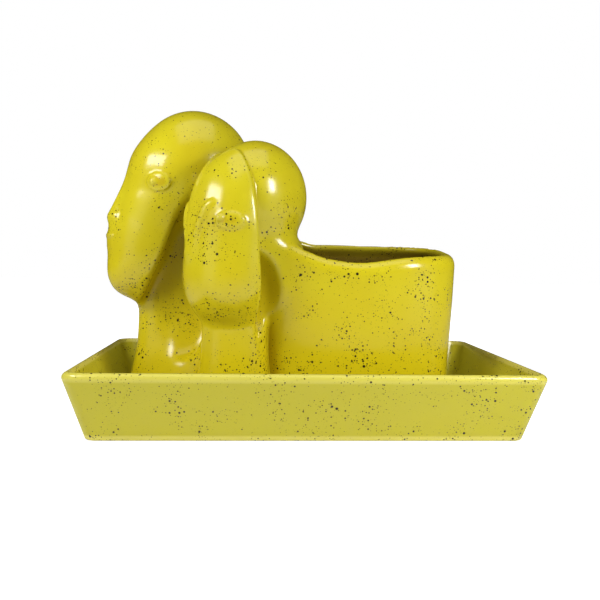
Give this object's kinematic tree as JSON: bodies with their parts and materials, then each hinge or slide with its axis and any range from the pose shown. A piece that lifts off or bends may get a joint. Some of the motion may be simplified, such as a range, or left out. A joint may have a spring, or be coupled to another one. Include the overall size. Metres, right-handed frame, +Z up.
{
  "type": "figure planter with drip tray",
  "caption": "Oblong glazed ceramic plant pot whose front end is a pair of bald, stylised heads on their necks, standing in a flared rectangular drip tray.",
  "frame": {"origin": "on the table, below the middle of the drip tray", "axes": "+Z up, +X along the tray from the faces to the vessel's end, so both faces look towards -X"},
  "size_m": [0.3, 0.2, 0.2214],
  "materials": {
    "planter_glaze": "gloss, dark speckles",
    "tray_glaze": "gloss, dark speckles"
  },
  "bodies": {
    "tray": {"drip_tray": "tray_glaze"},
    "planter": {"planter": "planter_glaze"}
  },
  "joints": [
    {"name": "planter_lift", "type": "slide", "parent": "tray", "child": "planter", "axis": [0, 0, 1], "range_m": [0, 0.08]}
  ]
}
